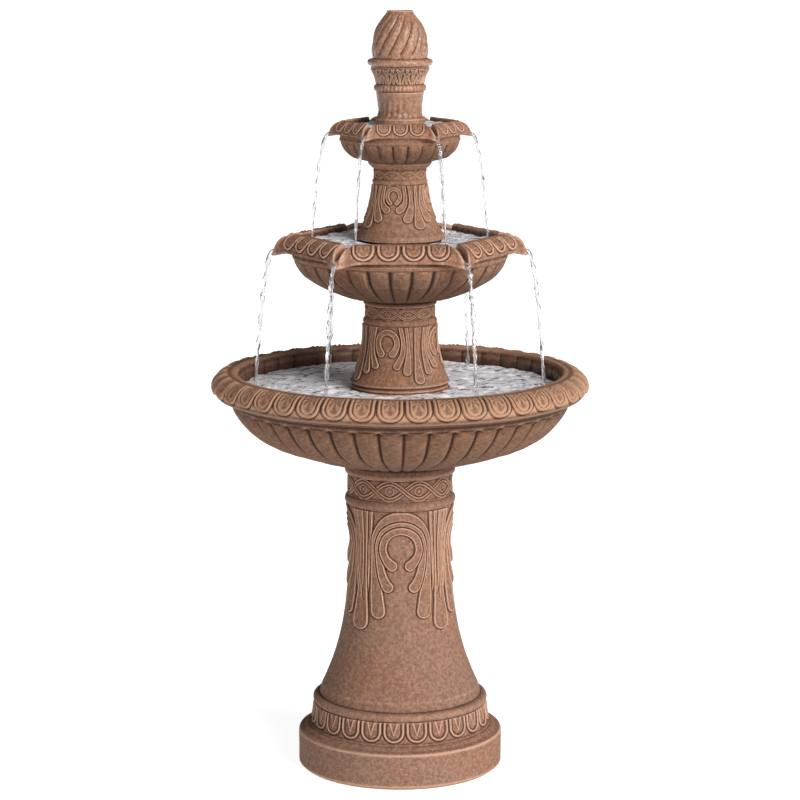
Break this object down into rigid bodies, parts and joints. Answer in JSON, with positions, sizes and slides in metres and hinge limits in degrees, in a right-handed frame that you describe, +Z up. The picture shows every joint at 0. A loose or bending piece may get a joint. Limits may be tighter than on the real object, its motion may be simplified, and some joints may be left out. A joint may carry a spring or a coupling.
{
  "type": "tiered water fountain",
  "caption": "Tall garden water fountain: a flared pedestal carries a round basin and two smaller hexagonal-lipped bowls on ornamented columns, topped by a twisted bud finial.",
  "frame": {"origin": "centre of the plinth's underside, on the fountain's axis", "axes": "+Z up along the axis, -Y the front, +X to the right seen from the front"},
  "size_m": [0.6062, 0.6062, 1.219],
  "materials": {
    "cast_stone": "matt cast resin and stone mix, fine grain, brown terracotta",
    "wet_stone": "the same casting where water runs, darker and glossier",
    "water": "clear running water",
    "rubber": "matt black rubber",
    "clear_vinyl": "clear vinyl tube",
    "clamp_steel": "stainless band",
    "pump_plastic": "moulded black plastic",
    "potted_steel": "laminated core potted in resin",
    "ferrite": "ground ferrite magnet",
    "impeller_plastic": "white moulded plastic",
    "dial_plastic": "blue moulded plastic",
    "white_ceramic": "ground ceramic"
  },
  "bodies": {
    "pedestal": {"pedestal": "cast_stone"},
    "basin": {"basin": "cast_stone", "cord_stopper": "rubber", "supply_tube": "clear_vinyl", "hose_clamp": "clamp_steel", "pump_housing": "pump_plastic", "pump_stator": "potted_steel", "pump_o_ring": "rubber", "volute_cover": "pump_plastic", "shaft_bushes": "rubber", "impeller_shaft": "white_ceramic", "pump_strainer": "pump_plastic", "pump_outlet": "pump_plastic", "cord_gland": "rubber", "suction_feet": "rubber"},
    "impeller": {"impeller": "impeller_plastic", "rotor_magnet": "ferrite"},
    "flow_dial": {"flow_dial": "dial_plastic"},
    "middle_tier": {"lower_column": "wet_stone", "middle_bowl": "wet_stone", "middle_bowl_grommet": "rubber"},
    "top_tier": {"upper_column": "wet_stone", "top_bowl": "wet_stone", "top_bowl_grommet": "rubber", "finial_neck": "wet_stone"},
    "finial": {"finial": "wet_stone", "outlet_collar": "pump_plastic"}
  },
  "joints": [
    {"name": "basin_lift", "type": "slide", "parent": "pedestal", "child": "basin", "axis": [0, 0, 1], "range_m": [0, 0.06]},
    {"name": "middle_tier_lift", "type": "slide", "parent": "basin", "child": "middle_tier", "axis": [0, 0, 1], "range_m": [0, 0.15]},
    {"name": "top_tier_lift", "type": "slide", "parent": "middle_tier", "child": "top_tier", "axis": [0, 0, 1], "range_m": [0, 0.13]},
    {"name": "finial_lift", "type": "slide", "parent": "top_tier", "child": "finial", "axis": [0, 0, 1], "range_m": [0, 0.12]},
    {"name": "impeller_spin", "type": "hinge", "parent": "basin", "child": "impeller", "pos_m": [-0.02, -0.014, 0.53], "axis": [1, 0, 0], "continuous": true},
    {"name": "flow_dial_turn", "type": "hinge", "parent": "basin", "child": "flow_dial", "pos_m": [0.0195, -0.014, 0.53], "axis": [1, 0, 0], "range_deg": [-30, 30]}
  ]
}
